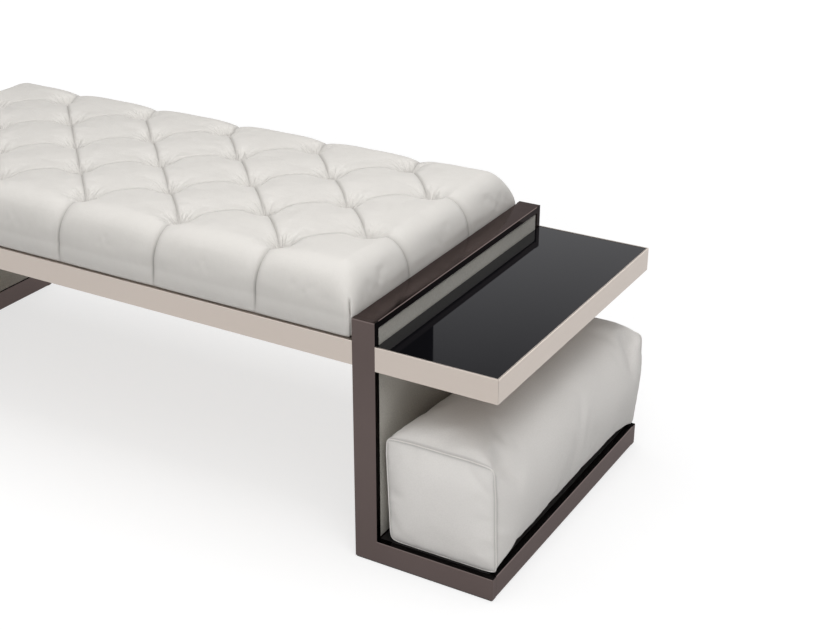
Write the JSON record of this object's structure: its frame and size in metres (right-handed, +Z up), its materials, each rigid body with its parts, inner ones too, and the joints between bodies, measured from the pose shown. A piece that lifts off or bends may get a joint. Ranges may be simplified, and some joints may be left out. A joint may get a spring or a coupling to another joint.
{
  "type": "hotel luggage bench",
  "caption": "Low upholstered luggage bench: diamond-tufted seat between L-shaped end frames, each with a glass-topped side tray over a shelf holding a loose bolster cushion.",
  "frame": {"origin": "on the floor, under the middle of the bench", "axes": "+X along the bench, -Y out of the front, +Z up"},
  "size_m": [1.636, 0.555, 0.482],
  "materials": {
    "dark_bronze": "gloss",
    "champagne_metal": "satin",
    "dark_steel": "satin",
    "black_glass": "polished",
    "seat_leather": "satin",
    "bolster_cloth": "matte",
    "panel_cloth": "matte",
    "plywood": "matte",
    "black_board": "satin",
    "felt": "matte"
  },
  "bodies": {
    "bench": {"right_front_leg": "dark_bronze", "right_back_leg": "dark_bronze", "right_top_bar": "dark_bronze", "right_outer_foot_bar": "dark_bronze", "right_sill": "dark_bronze", "right_shelf_deck": "black_board", "right_front_felt_strip": "felt", "right_back_felt_strip": "felt", "right_panel_core": "plywood", "right_panel_outer_cover": "panel_cloth", "right_panel_inner_cover": "panel_cloth", "right_tray_front_rim": "champagne_metal", "right_tray_back_rim": "champagne_metal", "right_tray_outer_rim": "champagne_metal", "right_tray_floor": "champagne_metal", "right_tray_wall_angle": "dark_steel", "right_seat_end_angle": "dark_steel", "right_through_bolt_1": "dark_steel", "right_through_bolt_2": "dark_steel", "right_through_bolt_3": "dark_steel", "right_tray_glass": "black_glass", "left_front_leg": "dark_bronze", "left_back_leg": "dark_bronze", "left_top_bar": "dark_bronze", "left_outer_foot_bar": "dark_bronze", "left_sill": "dark_bronze", "left_shelf_deck": "black_board", "left_front_felt_strip": "felt", "left_back_felt_strip": "felt", "left_panel_core": "plywood", "left_panel_outer_cover": "panel_cloth", "left_panel_inner_cover": "panel_cloth", "left_tray_front_rim": "champagne_metal", "left_tray_back_rim": "champagne_metal", "left_tray_outer_rim": "champagne_metal", "left_tray_floor": "champagne_metal", "left_tray_wall_angle": "dark_steel", "left_seat_end_angle": "dark_steel", "left_through_bolt_1": "dark_steel", "left_through_bolt_2": "dark_steel", "left_through_bolt_3": "dark_steel", "left_tray_glass": "black_glass", "front_seat_rail": "champagne_metal", "back_seat_rail": "champagne_metal", "seat_board": "plywood", "seat_slat_1": "plywood", "seat_slat_2": "plywood", "seat_slat_3": "plywood", "seat_cushion": "seat_leather"},
    "right_bolster_cushion": {"right_bolster": "bolster_cloth"},
    "left_bolster_cushion": {"left_bolster": "bolster_cloth"}
  },
  "joints": [
    {"name": "right_bolster_slide", "type": "slide", "parent": "bench", "child": "right_bolster_cushion", "axis": [1, 0, 0], "range_m": [0, 0.2]},
    {"name": "left_bolster_slide", "type": "slide", "parent": "bench", "child": "left_bolster_cushion", "axis": [-1, 0, 0], "range_m": [0, 0.2]}
  ]
}
